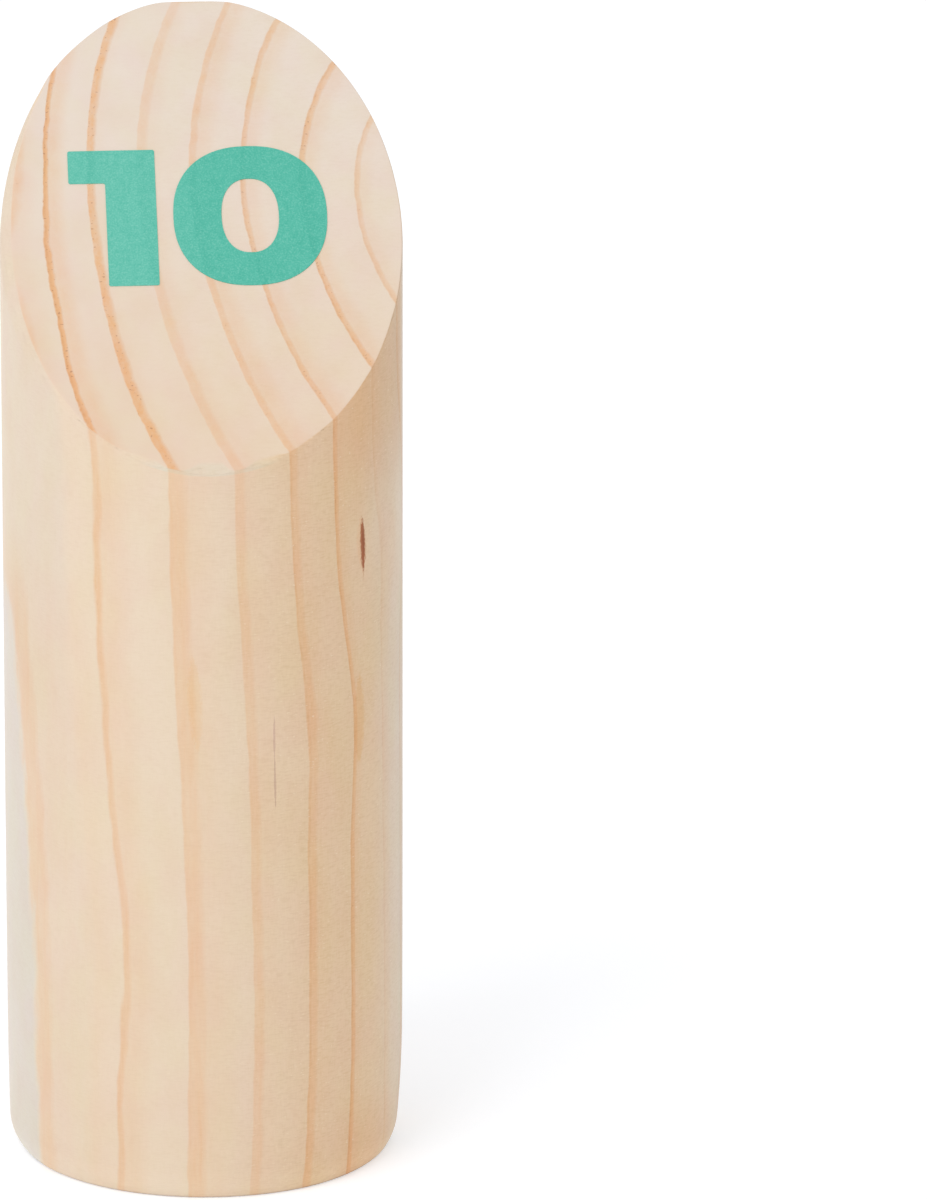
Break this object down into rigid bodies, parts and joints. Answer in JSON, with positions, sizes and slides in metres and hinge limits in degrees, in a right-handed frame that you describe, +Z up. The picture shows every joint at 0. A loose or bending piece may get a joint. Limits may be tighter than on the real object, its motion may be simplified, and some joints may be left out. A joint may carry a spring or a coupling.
{
  "type": "numbered throwing-game pin",
  "caption": "Round softwood game pin on a flat foot, cut off on a slope at the top, with a plain teal number printed on the sloping face.",
  "frame": {"origin": "middle of the flat foot, on the surface that the pin stands on", "axes": "+Z up the pin's axis, the sloping cut faces -Y and rises towards +Y, +X is to the right of the number as it is read"},
  "size_m": [0.056, 0.056, 0.159],
  "materials": {
    "bare_softwood": "bare sanded pine or spruce, pale cream with orange growth rings, no varnish",
    "teal_paint": "thin matt teal print, with the wood's grain showing faintly through it"
  },
  "bodies": {
    "root": {"pin_body": "bare_softwood", "digit_one": "teal_paint", "digit_zero": "teal_paint"}
  },
  "joints": []
}
